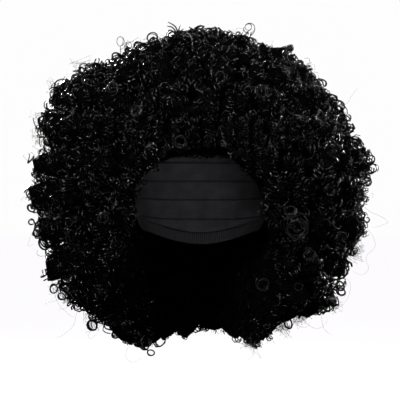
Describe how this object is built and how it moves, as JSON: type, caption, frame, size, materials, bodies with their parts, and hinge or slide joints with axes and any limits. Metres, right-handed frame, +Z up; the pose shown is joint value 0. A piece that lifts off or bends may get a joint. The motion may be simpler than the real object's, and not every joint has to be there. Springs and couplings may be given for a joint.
{
  "type": "afro wig",
  "caption": "Rounded afro wig of black curled synthetic hair on a stretch cap with an elastic edge, with a fringe of small curls over an open face.",
  "frame": {"origin": "Where the crown of the wearer's head bears on the inside of the cap; the wig hangs from there, so most of it lies below the origin.", "axes": "+Z is up, the face looks along -Y, and the wearer's left is +X. The width from side to side runs along X and the depth from face to back along Y."},
  "size_m": [0.3646, 0.3099, 0.3428],
  "materials": {
    "hair": "curled synthetic fibre, soft sheen",
    "cap_net": "matt stretch net",
    "edge_elastic": "matt woven elastic"
  },
  "bodies": {
    "root": {"cap": "cap_net", "edge_band": "edge_elastic", "crown_weft": "hair", "weft_1": "hair", "weft_2": "hair", "weft_3": "hair", "weft_4": "hair", "weft_5": "hair", "weft_6": "hair", "weft_7": "hair", "weft_8": "hair", "weft_9": "hair", "fringe_weft": "hair", "nape_weft": "hair"}
  },
  "joints": []
}
